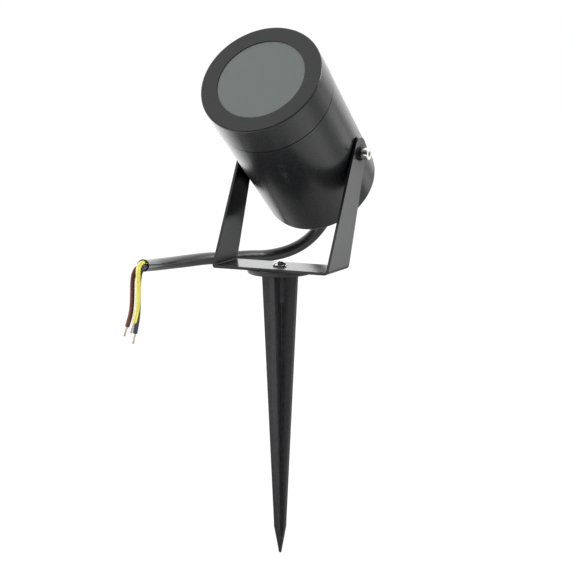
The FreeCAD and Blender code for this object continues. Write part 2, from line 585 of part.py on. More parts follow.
def swept(points, radius):
    """Tube along straight runs joined by tangent arcs, each as large as its two runs allow."""
    edges = []
    start = points[0]
    radii = []
    for before, corner, after in zip(points, points[1:], points[2:]):
        into = (corner - before).normalize()
        out = (after - corner).normalize()
        half_turn = into.getAngle(out) / 2
        reach = ARC_SHARE * min((corner - before).Length, (after - corner).Length)
        arc_r = reach / math.tan(half_turn)
        radii.append(arc_r)
        first = corner - into * reach
        last = corner + out * reach
        bisector = (out - into).normalize()
        middle = corner + bisector * (arc_r / math.cos(half_turn) - arc_r)
        edges.append(Part.LineSegment(start, first).toShape())
        edges.append(Part.Arc(first, middle, last).toShape())
        start = last
    edges.append(Part.LineSegment(start, points[-1]).toShape())
    path = Part.Wire(edges)
    section = Part.Wire(Part.makeCircle(radius, points[0], (points[1] - points[0]).normalize()))
    solid = path.makePipeShell([section], True, False)
    return solid, radii, path.Length


def holder_lead(side):
    """Insulated lead from the holder's back, past the strap, into the side of the terminal block."""
    start = at(PLATE_BACK, side * LEAD_X)
    turn_at = at(BLOCK_BACK + BLOCK_LENGTH / 2, side * LEAD_X)
    end = at(BLOCK_BACK + BLOCK_LENGTH / 2, side * BLOCK_HALF_X)
    reach = LEAD_BEND_R
    first = turn_at - Y_AXIS * reach
    last = turn_at - X_AXIS * (side * reach)
    slant = math.sqrt(0.5)
    middle = turn_at + Vector(-side * reach, -reach, 0) + Vector(side * slant, slant, 0) * reach
    path = Part.Wire([Part.makeLine(start, first), Part.Arc(first, middle, last).toShape(),
                      Part.makeLine(last, end)])
    section = Part.Wire(Part.makeCircle(LEAD_R, start, Y_AXIS))
    return path.makePipeShell([section], True, False)


def inner_core(angle, x_at_block, rise_at_block):
    """Core of the captive cable end, from the stripped sheath to its pole of the terminal block."""
    x_at_sheath = CORE_OFFSET * math.cos(math.radians(angle))
    rise_at_sheath = CORE_OFFSET * math.sin(math.radians(angle))
    straight = WIRING_ROOM / 3
    points = [at(STUB_BACK, x_at_sheath, rise_at_sheath), at(STUB_BACK - straight, x_at_sheath, rise_at_sheath),
              at(BLOCK_END + straight, x_at_block, rise_at_block), at(BLOCK_END, x_at_block, rise_at_block)]
    return swept(points, CORE_R)[0]


# ---------------------------------------------------------------- cable gland and captive cable end
def make_gland_body():
    """Hexagonal base in the rear recess, threaded stem through the wall and slotted spout for the nut."""
    base = hexagon(at(GLAND_BASE_BACK), Y_AXIS, GLAND_BASE_AF, GLAND_BASE_H)
    stem = rod(at(LOCKNUT_BACK), Y_AXIS, GLAND_THREAD_R, GLAND_BASE_BACK - LOCKNUT_BACK)
    spout = rod(at(GLAND_BASE_BACK), Y_AXIS, SPOUT_R, GLAND_BASE_H + SPOUT_H)
    bore = rod(at(LOCKNUT_BACK - PAST), Y_AXIS, GLAND_BORE_R, GLAND_END - LOCKNUT_BACK)
    body = base.fuse([stem, spout]).cut(bore)
    # three slots across the spout leave six fingers, which the nut bends onto the seal
    for angle in (0, 60, 120):
        slot = box(at(GLAND_NUT_BACK, -SPOUT_R - PAST, -SPOUT_SLOT_W / 2),
                   at(GLAND_END, SPOUT_R + PAST, SPOUT_SLOT_W / 2))
        slot.rotate(at(0), Y_AXIS, angle)
        body = body.cut(slot)
    return body


def make_gland_nut():
    """Domed hexagonal cap nut that squeezes the seal on the cable."""
    nut = hexagon(at(GLAND_NUT_BACK), Y_AXIS, GLAND_NUT_AF, GLAND_NUT_H)
    corner_r = GLAND_NUT_AF / math.sqrt(3)
    dome = turned([(GLAND_NUT_BACK - PAST, 0), (GLAND_NUT_BACK - PAST, corner_r + PAST),
                   (GLAND_END - GLAND_NUT_DOME, corner_r), (GLAND_END, corner_r - GLAND_NUT_DOME), (GLAND_END, 0)])
    nut = nut.common(dome)
    nut = nut.cut(rod(at(GLAND_NUT_BACK - PAST), Y_AXIS, SPOUT_R, PAST + SPOUT_H))
    return nut.cut(rod(at(GLAND_NUT_BACK), Y_AXIS, CABLE_R, GLAND_NUT_H + PAST))


def make_gland_seal():
    """Rubber sleeve between the gland's bore and the cable."""
    return tube(at(PAD_FACE), Y_AXIS, GLAND_BORE_R, CABLE_R, GLAND_NUT_BACK + SPOUT_H - PAD_FACE)


def make_gland_ring():
    """Flat seal between the gland's base and the rear recess."""
    return tube(at(GLAND_SEAT), Y_AXIS, GLAND_RING_R, GLAND_THREAD_R, GLAND_RING_T)


def make_gland_locknut():
    """Thin hexagonal nut that pulls the gland against the wall from inside."""
    nut = hexagon(at(LOCKNUT_BACK), Y_AXIS, LOCKNUT_AF, LOCKNUT_T)
    return nut.cut(rod(at(LOCKNUT_BACK - PAST), Y_AXIS, GLAND_THREAD_R, LOCKNUT_T + 2 * PAST))


# ---------------------------------------------------------------- free cable, from the gland to its bared cores
def cable_route():
    exit_point = HEAD_PLACE.multVec(at(GLAND_END))
    direction = HEAD_PLACE.Rotation.multVec(Y_AXIS)
    chosen = [(-4.3, 75.0, 25.0), (-11.7, 77.6, 15.0), (-19.4, 75.6, 6.8), (-27.9, 70.2, 1.6),
              (-37.2, 60.6, -0.6), (-43.4, 48.1, 0.7), (-50.5, 34.5, 0.9), (-54.9, 19.5, 2.4),
              (-57.4, 4.0, 3.1), (-58.8, -12.0, 4.0), (-59.2, -28.0, 5.2), (-58.0, -44.0, 6.6),
              (-54.8, -58.5, 8.5)]
    return [exit_point, exit_point + direction * EXIT_RUN] + [Vector(*point) for point in chosen]


# each core: the angle of its place in the sheath, then its points after its straight exit from the sheath
CORE_ROUTES = {
    "core_brown": (335, [(-56.1, -65.0, 6.9), (-56.5, -66.6, 4.0), (-56.7, -67.2, 0.2),
                         (-56.8, -67.2, -5.4), (-57.2, -67.0, -11.6), (-58.2, -66.8, -18.0), (-60.6, -66.6, -24.4)]),
    "core_earth": (90, [(-53.4, -65.5, 9.5), (-52.8, -67.9, 7.0), (-52.3, -68.8, 3.2),
                        (-52.2, -68.9, -2.4), (-52.6, -68.6, -9.0), (-53.5, -68.1, -15.6), (-55.6, -67.8, -21.6)]),
    "core_blue": (205, [(-53.2, -64.4, 6.0), (-53.5, -65.2, 2.8), (-53.8, -65.6, -1.0),
                        (-53.9, -65.7, -7.0), (-54.2, -65.3, -13.8), (-54.9, -64.8, -20.4), (-57.0, -64.3, -28.2)]),
}
WIRE_LENGTHS = {"core_brown": 6.0, "core_earth": 6.6, "core_blue": 6.6}


def make_core(name, sheath_end, sheath_direction):
    """One insulated core and the bare wire at its end."""
    angle, points = CORE_ROUTES[name]
    across = sheath_direction.cross(Z_AXIS).normalize()
    upward = across.cross(sheath_direction).normalize()
    turn = math.radians(angle)
    start = sheath_end + (across * math.cos(turn) + upward * math.sin(turn)) * CORE_OFFSET
    route = [start, start + sheath_direction * CORE_EXIT_RUN] + [Vector(*point) for point in points]
    core, radii, length = swept(route, CORE_R)
    end_direction = (route[-1] - route[-2]).normalize()
    wire = rod(route[-1], end_direction, WIRE_R, WIRE_LENGTHS[name])
    return core, wire, radii, length


# ---------------------------------------------------------------- assembly
save("stake", make_spike())
save("base_screw", make_base_screw())
save("bracket", make_bracket())

right_hand = dict(zip(("flat_washer", "spring_washer", "tilt_screw"), pivot_hardware()))
for name, solid in right_hand.items():
    save(name + "_right", solid)
    save(name + "_left", solid.mirror(Vector(0, 0, 0), X_AXIS))

save("housing", tilted(make_housing()))
save("bezel", tilted(make_bezel()))
save("front_glass", tilted(rod(at(LIP_T), Y_AXIS, GLASS_R, GLASS_T)))
save("glass_gasket", tilted(tube(at(GLASS_BACK), Y_AXIS, GLASS_R, GASKET_INNER_R, GASKET_T)))
save("bezel_o_ring", tilted(make_o_ring()))

save("lamp_body", tilted(make_lamp_body()))
save("lamp_lens", tilted(rod(at(LAMP_FRONT_BACK), Y_AXIS, LAMP_LENS_R, LAMP_LENS_T)))
save("lamp_pins", *[tilted(pin) for pin in lamp_pins()])
save("lamp_holder", tilted(make_holder()))
save("holder_plate", tilted(make_plate()))
save("holder_screws", *[tilted(m3_screw(at(BLOCK_BACK, 0, side * HOLDER_SCREW_OFFSET), -Y_AXIS,
                                        PLATE_T + HOLDER_SCREW_LENGTH)) for side in (-1, 1)])
save("plate_screws", *[tilted(m3_screw(at(PLATE_BACK, 0, side * POST_OFFSET), Y_AXIS,
                                       PLATE_T + PLATE_SCREW_LENGTH)) for side in (-1, 1)])
save("terminal_block", tilted(make_terminal_block()))
save("terminal_screws", *[tilted(screw) for screw in block_screws()])
save("block_screw", tilted(m3_screw(at(BLOCK_END, 0, -BLOCK_FIXING_DROP), -Y_AXIS, BLOCK_LENGTH + PLATE_T)))
save("holder_lead_brown", tilted(holder_lead(1)))
save("holder_lead_blue", tilted(holder_lead(-1)))

save("gland_body", tilted(make_gland_body()))
save("gland_nut", tilted(make_gland_nut()))
save("gland_seal", tilted(make_gland_seal()))
save("gland_ring", tilted(make_gland_ring()))
save("gland_locknut", tilted(make_gland_locknut()))

save("cable_stub", tilted(rod(at(STUB_BACK), Y_AXIS, CABLE_R, GLAND_END - STUB_BACK)))
save("inner_core_brown", tilted(inner_core(-30, BLOCK_POLE_X, 0)))
save("inner_core_blue", tilted(inner_core(210, -BLOCK_POLE_X, 0)))
save("inner_core_earth", tilted(inner_core(90, 0, EARTH_ENTRY_RISE)))

route = cable_route()
cable, cable_radii, cable_length = swept(route, CABLE_R)
save("cable", cable)
print("cable", round(cable_length, 1), "mm, volume ratio",
      round(cable.Volume / (math.pi * CABLE_R ** 2 * cable_length), 4),
      "radii", [round(r, 1) for r in cable_radii])

cable_end_direction = (route[-1] - route[-2]).normalize()
for name in CORE_ROUTES:
    core, wire, core_radii, core_length = make_core(name, route[-1], cable_end_direction)
    save(name, core)
    save(name.replace("core", "wire"), wire)
    print(name, round(core_length, 1), "mm, volume ratio",
          round(core.Volume / (math.pi * CORE_R ** 2 * core_length), 4),
          "radii", [round(r, 1) for r in core_radii])

for name, shape in nodes.items():
    solids = shape.Solids
    if not solids or not all(solid.isValid() for solid in solids):
        print("check", name, len(solids))
    shape.exportStep("parts/%s.step" % name)
print(len(nodes), "nodes")
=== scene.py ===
"""Garden spike spotlight: a black powder-coated head in a U bracket, on a plastic ground spike."""
import math
import bmesh
import bpy
from mathutils import Matrix, Vector


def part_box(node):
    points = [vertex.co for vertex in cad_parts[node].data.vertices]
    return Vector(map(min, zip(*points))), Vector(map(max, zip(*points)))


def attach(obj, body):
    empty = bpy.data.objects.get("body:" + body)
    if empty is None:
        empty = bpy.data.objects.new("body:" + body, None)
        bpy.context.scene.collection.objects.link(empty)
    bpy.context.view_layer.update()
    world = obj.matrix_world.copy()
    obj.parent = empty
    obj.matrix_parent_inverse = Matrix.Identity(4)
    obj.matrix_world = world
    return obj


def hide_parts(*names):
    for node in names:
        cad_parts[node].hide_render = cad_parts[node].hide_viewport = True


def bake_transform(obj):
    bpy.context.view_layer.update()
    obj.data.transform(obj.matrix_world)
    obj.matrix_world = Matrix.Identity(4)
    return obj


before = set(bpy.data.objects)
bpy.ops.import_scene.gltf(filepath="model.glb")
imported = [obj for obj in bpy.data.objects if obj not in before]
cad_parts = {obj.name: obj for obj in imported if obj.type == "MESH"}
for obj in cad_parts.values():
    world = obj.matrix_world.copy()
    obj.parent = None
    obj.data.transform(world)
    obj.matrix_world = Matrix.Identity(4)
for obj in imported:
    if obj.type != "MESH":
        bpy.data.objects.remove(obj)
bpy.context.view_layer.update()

MM = 0.001

# ---------------------------------------------------------------- studio and camera
# A white cloth behind and above the object, a pale floor, and an unlit room in front of it, which gives the
# dark bands on the turned metal. The camera stands where the photograph was taken from: a little above the
# bracket, 26 degrees to the lamp's right, with a long lens.
FLANGE_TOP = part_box("stake")[1].z
SPIKE_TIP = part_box("stake")[0].z
CAMERA_AZIMUTH = math.radians(25.63)
CAMERA_ELEVATION = math.radians(8.47)
CAMERA_DISTANCE = 1292.2 * MM
CAMERA_LENS = 145.4
AIM = Vector((3.9, 0.2, -10.0)) * MM + Vector((0, 0, FLANGE_TOP))
BACKWARD = (-math.sin(CAMERA_AZIMUTH), math.cos(CAMERA_AZIMUTH), 0.0)
RIGHTWARD = (math.cos(CAMERA_AZIMUTH), math.sin(CAMERA_AZIMUTH), 0.0)
WHITE = "#ffffff"
ROOM_PAINT = "#f4f5f6"
ROOM_LIGHT = 0.42                # from every side, on what isn't shiny

# What shiny surfaces see round the object, and the cosines to each direction between which it changes.
DARK_ROOM = 0.15
CLOTH_BEHIND, BEHIND_EDGE = 1.5, (0.05, 0.6)
CLOTH_RIGHT, RIGHT_EDGE = 1.3, (0.25, 0.7)
CLOTH_ABOVE, ABOVE_EDGE = 1.15, (0.35, 0.8)
WINDOW_SIDE, LEFT_EDGE = 1.9, (-0.25, -0.7)     # so many times brighter on the left, towards a window

# What they see on the floor, and the places in metres from the spike between which it changes.
FLOOR_HALF = 9.0
FLOOR_DROP = 0.5 * MM            # under the spike's tip
FLOOR_PAINT = "#e9e9e7"
FLOOR_GLOW, FLOOR_GLOW_SHARE = 1.08, 0.9        # as the camera sees it, with the rest left for shadows
FAR_FLOOR, FRONT_FLOOR_EDGE = 1.2, (-0.9, -0.15)
DIM_STRIP, DIM_STRIP_EDGE, SWEEP_EDGE = 0.42, (0.05, 0.2), (0.36, 0.52)
LEFT_FLOOR_EDGE, WINDOW_FLOOR_EDGE = (-0.03, -0.11), (-0.05, -0.25)
RIGHT_FLOOR, RIGHT_FLOOR_EDGE = 0.5, (0.33, 0.65)
# a painted shadow: the floor's glow, as shiny surfaces see it, is dimmed round the spike's foot
UNDER_OBJECT, UNDER_EDGE = 0.25, (0.04, 0.32)   # where the cloth lies in the object's shadow
FOOT_SHADE = (-60 * MM, 60 * MM, 0.0)


def colour(code):
    """A hex colour, as written for screens, as the linear values that a shader takes."""
    shares = [int(code[k:k + 2], 16) / 255 for k in (1, 3, 5)]
    return [s / 12.92 if s <= 0.04045 else ((s + 0.055) / 1.055) ** 2.4 for s in shares] + [1.0]


def add(tree, kind, inputs=(), **settings):
    """Add a node with its settings.

    inputs gives the sockets, in order or by name, a value each, or the output or the node that feeds them.
    """
    node = tree.nodes.new(kind)
    for name, value in settings.items():
        setattr(node, name, value)
    for socket, value in (inputs.items() if isinstance(inputs, dict) else enumerate(inputs)):
        if isinstance(value, bpy.types.Node):
            value = value.outputs[0]
        if isinstance(value, bpy.types.NodeSocket):
            tree.links.new(value, node.inputs[socket])
        else:
            node.inputs[socket].default_value = value
    return node


scene = bpy.context.scene
scene.view_settings.view_transform = "Standard"

world = bpy.data.worlds.new("light_tent")
scene.world = world
world.use_nodes = True
tree = world.node_tree
tree.nodes.clear()
path = add(tree, "ShaderNodeLightPath")
direction = add(tree, "ShaderNodeTexCoord").outputs["Generated"]
height = add(tree, "ShaderNodeSeparateXYZ", (direction,)).outputs["Z"]
backward, rightward = [
    add(tree, "ShaderNodeVectorMath", (direction, way), operation="DOT_PRODUCT").outputs["Value"]
    for way in (BACKWARD, RIGHTWARD)]
lit = add(tree, "ShaderNodeMapRange", (rightward, *RIGHT_EDGE, CLOTH_BEHIND, CLOTH_RIGHT),
          interpolation_type="SMOOTHSTEP")
left = add(tree, "ShaderNodeMapRange", (rightward, *LEFT_EDGE, 1.0, WINDOW_SIDE),
           interpolation_type="SMOOTHSTEP")
lit = add(tree, "ShaderNodeMath", (lit, left), operation="MULTIPLY")
behind = add(tree, "ShaderNodeMapRange", (backward, *BEHIND_EDGE, DARK_ROOM, lit),
             interpolation_type="SMOOTHSTEP")
above = add(tree, "ShaderNodeMapRange", (height, *ABOVE_EDGE, DARK_ROOM, CLOTH_ABOVE),
            interpolation_type="SMOOTHSTEP")
cloth = add(tree, "ShaderNodeMath", (behind, above), operation="MAXIMUM")
clear_view = add(tree, "ShaderNodeMath", (path.outputs["Is Camera Ray"], path.outputs["Is Transmission Ray"]),
                 operation="MAXIMUM")
strength = add(tree, "ShaderNodeMix", {"Factor": clear_view, "A": cloth, "B": 1.0}).outputs["Result"]
seen = add(tree, "ShaderNodeMath", (clear_view, path.outputs["Is Glossy Ray"]), operation="MAXIMUM")
room = add(tree, "ShaderNodeBackground", (colour(ROOM_PAINT), ROOM_LIGHT))
backdrop = add(tree, "ShaderNodeBackground", (colour(WHITE), strength))
add(tree, "ShaderNodeOutputWorld", {"Surface": add(tree, "ShaderNodeMixShader", (seen, room, backdrop))})

floor_mesh = bpy.data.meshes.new("floor")
floor_mesh.from_pydata([(x * FLOOR_HALF, y * FLOOR_HALF, SPIKE_TIP - FLOOR_DROP)
                        for x, y in ((-1, -1), (1, -1), (1, 1), (-1, 1))], [], [(0, 1, 2, 3)])
floor = bpy.data.objects.new("floor", floor_mesh)
scene.collection.objects.link(floor)
painted_floor = bpy.data.materials.new("matt_white_floor")
painted_floor.use_nodes = True
tree = painted_floor.node_tree
tree.nodes.clear()
path = add(tree, "ShaderNodeLightPath")
ground = add(tree, "ShaderNodeTexCoord").outputs["Object"]
backward, rightward = [
    add(tree, "ShaderNodeVectorMath", (ground, way), operation="DOT_PRODUCT").outputs["Value"]
    for way in (BACKWARD, RIGHTWARD)]
foot = add(tree, "ShaderNodeVectorMath", (ground, FOOT_SHADE), operation="SUBTRACT")
foot = add(tree, "ShaderNodeVectorMath", (foot, (1, 1, 0)), operation="MULTIPLY")
from_foot = add(tree, "ShaderNodeVectorMath", (foot,), operation="LENGTH").outputs["Value"]
front, dim_strip, sweep, beside, right, window = [
    add(tree, "ShaderNodeMapRange", (place, *edge, low, high), interpolation_type="SMOOTHSTEP")
    for place, edge, low, high in ((backward, FRONT_FLOOR_EDGE, DARK_ROOM, FAR_FLOOR),
                                   (backward, DIM_STRIP_EDGE, FAR_FLOOR, DIM_STRIP),
                                   (backward, SWEEP_EDGE, 0.0, FAR_FLOOR - DIM_STRIP),
                                   (rightward, LEFT_FLOOR_EDGE, 0.0, FAR_FLOOR),
                                   (rightward, RIGHT_FLOOR_EDGE, FAR_FLOOR, RIGHT_FLOOR),
                                   (rightward, WINDOW_FLOOR_EDGE, 1.0, WINDOW_SIDE))]
# painted shadow round the foot, seen only in reflections
under = add(tree, "ShaderNodeMapRange", (from_foot, *UNDER_EDGE, UNDER_OBJECT, FAR_FLOOR))
cloth = add(tree, "ShaderNodeMath", (dim_strip, sweep), operation="ADD")
for part, operation in ((beside, "MAXIMUM"), (right, "MINIMUM"), (front, "MINIMUM"), (under, "MINIMUM"),
                        (window, "MULTIPLY")):
    cloth = add(tree, "ShaderNodeMath", (cloth, part), operation=operation)
strength = add(tree, "ShaderNodeMix", {"Factor": path.outputs["Is Glossy Ray"], "A": FLOOR_GLOW,
                                       "B": cloth}).outputs["Result"]
seen = add(tree, "ShaderNodeMath", (path.outputs["Is Camera Ray"], FLOOR_GLOW_SHARE), operation="MULTIPLY")
seen = add(tree, "ShaderNodeMath", (seen, path.outputs["Is Glossy Ray"]), operation="MAXIMUM")
matt = add(tree, "ShaderNodeBsdfDiffuse", {"Color": colour(FLOOR_PAINT), "Roughness": 1.0})
glow = add(tree, "ShaderNodeEmission", {"Color": colour(WHITE), "Strength": strength})
add(tree, "ShaderNodeOutputMaterial", {"Surface": add(tree, "ShaderNodeMixShader", (seen, matt, glow))})
floor_mesh.materials.append(painted_floor)

# soft boxes: name, place, width and height in metres, power in watts, whether shiny surfaces show them
SOFT_BOXES = [("key_softbox", (-1.2, -0.9, 0.7), 0.8, 0.8, 18.0, False),
              ("fill_softbox", (1.3, -0.9, 0.4), 0.9, 0.9, 4.0, False),
              ("top_softbox", (0.1, 0.5, 1.5), 1.0, 1.0, 8.0, False),
              ("rim_softbox", (1.0, 0.75, 0.7), 0.7, 0.7, 14.0, True),
              ("bounce_card", (0.205, 0.35, FLANGE_TOP - 0.005), 0.08, 0.14, 0.028, True)]
for name, place, width, height, power, in_gloss in SOFT_BOXES:
    lamp = bpy.data.lights.new(name, "AREA")
    lamp.shape = "ELLIPSE"
    lamp.size = width
    lamp.size_y = height
    lamp.energy = power
    box = bpy.data.objects.new(name, lamp)
    scene.collection.objects.link(box)
    box.location = place
    box.rotation_euler = (AIM - Vector(place)).to_track_quat("-Z", "Y").to_euler()
    box.visible_glossy = in_gloss

camera_data = bpy.data.cameras.new("camera")
camera_data.sensor_width = 36.0
camera_data.lens = CAMERA_LENS
camera = bpy.data.objects.new("camera", camera_data)
scene.collection.objects.link(camera)
stand = Vector((math.sin(CAMERA_AZIMUTH) * math.cos(CAMERA_ELEVATION),
                -math.cos(CAMERA_AZIMUTH) * math.cos(CAMERA_ELEVATION),
                math.sin(CAMERA_ELEVATION))) * CAMERA_DISTANCE
camera.location = Vector((0, 0, FLANGE_TOP)) + stand
camera.rotation_euler = (AIM - camera.location).to_track_quat("-Z", "Y").to_euler()
scene.camera = camera

# ---------------------------------------------------------------- cable
# Round 3-core rubber flex, 7 mm across, extruded smooth. It leaves the gland along the lamp axis, sags behind
# the bracket, comes round its left side and ends cut square, with its three cores hanging out.
CABLE_R = 3.5
SHEATH_WALL = 0.65
BORE_R = CABLE_R - SHEATH_WALL
CUT_DEPTH = 1.4           # how far the cut end is open before the cores fill it
CUT_EDGE = 0.12           # rounding of the cut end's outer edge
BORE_EDGE = 0.06          # and of its inner edge
CABLE_ROUTE = [(0, 58.583, 42.112), (0, 67.882, 34.528), (-4.3, 75.0, 25.0), (-11.7, 77.6, 15.0),
               (-19.4, 75.6, 6.8), (-27.9, 70.2, 1.6), (-37.2, 60.6, -0.6), (-43.4, 48.1, 0.7),
               (-50.5, 34.5, 0.9), (-54.9, 19.5, 2.4), (-57.4, 4.0, 3.1), (-58.8, -12.0, 4.0),
               (-59.2, -28.0, 5.2), (-58.0, -44.0, 6.6), (-54.8, -58.5, 8.5)]
CABLE_SIDES, CABLE_STEPS = 40, 12
TO_CAMERA = stand.normalized()
SHARP_FROM = math.radians(35)
LUMP_DETAIL = 3.0                # octaves of the noise in every surface
SHADE_RANGE = (0.3, 0.7)         # of that noise, from a surface's first shade to its second
DRAWN_OUT = 0.15                 # how fast lumps change along a cord, against across it


def smooth_line(points_mm, steps):
    """The line of a route: a NURBS spline with the route's points as its control points, read back."""
    curve = bpy.data.curves.new("route", "CURVE")
    curve.dimensions = "3D"
    curve.resolution_u = steps
    spline = curve.splines.new("NURBS")
    spline.points.add(len(points_mm) - 1)
    for control, place in zip(spline.points, points_mm):
        control.co = (*(Vector(place) * MM), 1.0)
    spline.order_u = 3
    spline.use_endpoint_u = True
    carrier = bpy.data.objects.new("route", curve)
    mesh = bpy.data.meshes.new_from_object(carrier)
    line = [vertex.co.copy() for vertex in mesh.vertices]
    bpy.data.objects.remove(carrier)
    bpy.data.curves.remove(curve)
    bpy.data.meshes.remove(mesh)
    return line


def finish_mesh(name, vertices, faces):
    """A linked object from vertices and faces, smooth except over sharp edges, with its faces outwards."""
    mesh = bpy.data.meshes.new(name)
    mesh.from_pydata(vertices, [], faces)
    work = bmesh.new()
    work.from_mesh(mesh)
    bmesh.ops.recalc_face_normals(work, faces=work.faces)
    work.to_mesh(mesh)
    work.free()
    mesh.shade_smooth()
    mesh.set_sharp_from_angle(angle=SHARP_FROM)
    piece = bpy.data.objects.new(name, mesh)
    scene.collection.objects.link(piece)
    return piece


def hose(name, line, radius_mm, sides, cut_rings):
    """A round tube along a line, closed at its start and cut at its end.

    cut_rings gives the cut end's (distance before the end, radius) in mm, from the outside inwards. The
    attribute cord_place holds, in metres, the place across the tube, from its front side round, and along it.
    """
    last = len(line) - 1
    directions = [(line[min(k + 1, last)] - line[max(k - 1, 0)]).normalized() for k in range(len(line))]
    travelled = [0.0]
    for a, b in zip(line, line[1:]):
        travelled.append(travelled[-1] + (b - a).length)
    side = TO_CAMERA
    rings = []
    for point, ahead, along in zip(line, directions, travelled):
        side = (side - ahead * side.dot(ahead)).normalized()
        rings.append((point, ahead, side, radius_mm * MM, along))
    end, ahead, side, _, whole = rings.pop()
    for before, ring_radius in cut_rings:
        rings.append((end - ahead * before * MM, ahead, side, ring_radius * MM, whole - before * MM))
    vertices, places = [], []
    for centre, ahead, side, radius, along in rings:
        other = ahead.cross(side)
        for k in range(sides):
            turn = math.tau * k / sides
            across, up = radius * math.cos(turn), radius * math.sin(turn)
            vertices.append(centre + side * across + other * up)
            places += (across, up, along)
    final = (len(rings) - 1) * sides
    faces = [(ring + k, ring + (k + 1) % sides, ring + sides + (k + 1) % sides, ring + sides + k)
             for ring in range(0, final, sides) for k in range(sides)]
    faces += [tuple(range(sides)), tuple(range(final, final + sides))]
    piece = finish_mesh(name, vertices, faces)
    piece.data.attributes.new("cord_place", "FLOAT_VECTOR", "POINT").data.foreach_set("vector", places)
    return piece


def surface(name, shades, gloss, bumps, edge_mm, sockets=None, place=None):
    """A moulded, coated, plated or drawn surface, as a Principled shader.

    Two shades and a range of roughness follow the finest of the bumps, which are (size, depth) in mm, the
    coarsest first. Edges are rounded by edge_mm. sockets holds the shader's constants. place makes the
    coordinates in the tree, where they aren't the object's own.
    """
    made = bpy.data.materials.new(name)
    made.use_nodes = True
    tree = made.node_tree
    shader = tree.nodes["Principled BSDF"]
    where = place(tree) if place else add(tree, "ShaderNodeTexCoord").outputs["Object"]
    normal = add(tree, "ShaderNodeBevel", {"Radius": edge_mm * MM}, samples=4)
    for size, depth in bumps:
        lumps = add(tree, "ShaderNodeTexNoise", {"Vector": where, "Scale": 1 / (size * MM),
                                                  "Detail": LUMP_DETAIL})
        normal = add(tree, "ShaderNodeBump", {"Height": lumps, "Distance": depth * MM, "Strength": 1.0,
                                              "Normal": normal})
    share = add(tree, "ShaderNodeMapRange", (lumps, *SHADE_RANGE, 0.0, 1.0))
    mix = add(tree, "ShaderNodeMix", {"Factor": share, "A": colour(shades[0]), "B": colour(shades[1])},
              data_type="RGBA")
    roughness = add(tree, "ShaderNodeMapRange", (share, 0.0, 1.0, *gloss))
    tree.links.new(mix.outputs["Result"], shader.inputs["Base Color"])
    tree.links.new(roughness.outputs[0], shader.inputs["Roughness"])
    tree.links.new(normal.outputs[0], shader.inputs["Normal"])
    for socket, value in (sockets or {}).items():
        shader.inputs[socket].default_value = value
    return made


def along_cord(tree):
    """Coordinates that follow a cord, with its lumps drawn out along it."""
    place = add(tree, "ShaderNodeAttribute", attribute_name="cord_place").outputs["Vector"]
    return add(tree, "ShaderNodeMapping", {"Vector": place, "Scale": (1, 1, DRAWN_OUT)}).outputs[0]


# extruded rubber: smooth and almost black, with faint drag lines along it. It has a dull bloom, which is
# rubbed off and shiny near the cut end, where it was handled.
RUBBER = (("#0d0d0e", "#161617"), (0.3, 0.38), [(1.6, 0.02), (0.4, 0.006)], 0.1, {"IOR": 1.6})
HANDLED = (0.138, 0.165)         # metres along the cable between which the bloom ends
RUBBED_SHARE = 0.33              # of the roughness, where it is rubbed off
rubber_sheath = surface("extruded_rubber_sheath", *RUBBER, along_cord)
tree = rubber_sheath.node_tree
roughness = tree.nodes["Principled BSDF"].inputs["Roughness"]
place = add(tree, "ShaderNodeAttribute", attribute_name="cord_place").outputs["Vector"]
along = add(tree, "ShaderNodeSeparateXYZ", (place,)).outputs["Z"]
bloom = add(tree, "ShaderNodeMapRange", (along, *HANDLED, 1.0, RUBBED_SHARE), interpolation_type="SMOOTHSTEP")
rubbed = add(tree, "ShaderNodeMath", (roughness.links[0].from_socket, bloom), operation="MULTIPLY")
tree.links.new(rubbed.outputs[0], roughness)

cable_line = smooth_line(CABLE_ROUTE, CABLE_STEPS)
cable = hose("rubber_cable", cable_line, CABLE_R, CABLE_SIDES,
             [(CUT_EDGE, CABLE_R), (0.0, CABLE_R - CUT_EDGE), (0.0, BORE_R + BORE_EDGE), (BORE_EDGE, BORE_R),
              (CUT_DEPTH, BORE_R)])
cable.data.materials.append(rubber_sheath)
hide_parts("cable")
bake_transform(cable)

# ---------------------------------------------------------------- cores of the cable
# Three cores in soft rubber insulation, 2.6 mm across: brown, blue, and green with yellow for the earth.
# They hang from the cut sheath, each with its end stripped. The soft rubber has a low, even sheen.
CORE_R = 1.3
CORE_OFFSET = 1.551       # each core's middle from the cable's
CORE_EXIT_RUN = 3.6       # straight out of the sheath
CORE_SIDES, CORE_STEPS = 24, 10
STRIP_EDGE = 0.1          # rounding of the stripped end
STRIP_DEPTH = 0.5         # how far the stripped end is open round the wire
WIRE_R = 0.65
WIRE_ROOM, WIRE_ROOM_INSIDE = 0.08, 0.05    # round the wire, where it leaves its insulation and deeper in
# name: angle in the sheath, length in metres, then the points after its straight exit
CORES = {
    "brown": (335, 0.0387, [(-56.1, -65.0, 6.9), (-56.5, -66.6, 4.0), (-56.7, -67.2, 0.2), (-56.8, -67.2, -5.4),
                            (-57.2, -67.0, -11.6), (-58.2, -66.8, -18.0), (-60.6, -66.6, -24.4)]),
    "earth": (90, 0.0400, [(-53.4, -65.5, 9.5), (-52.8, -67.9, 7.0), (-52.3, -68.8, 3.2), (-52.2, -68.9, -2.4),
                           (-52.6, -68.6, -9.0), (-53.5, -68.1, -15.6), (-55.6, -67.8, -21.6)]),
    "blue": (205, 0.0415, [(-53.2, -64.4, 6.0), (-53.5, -65.2, 2.8), (-53.8, -65.6, -1.0), (-53.9, -65.7, -7.0),
                           (-54.2, -65.3, -13.8), (-54.9, -64.8, -20.4), (-57.0, -64.3, -28.2)]),
}
INSULATION = {"brown": ("#5c2c16", "#6e381e"), "blue": ("#2e3050", "#3a3c5e"), "earth": ("#efe55c", "#f7ee76")}
EARTH_GREEN = "#2f7a34"
EARTH_GREEN_START = math.radians(130)   # the green band covers what is past this angle from the core's front
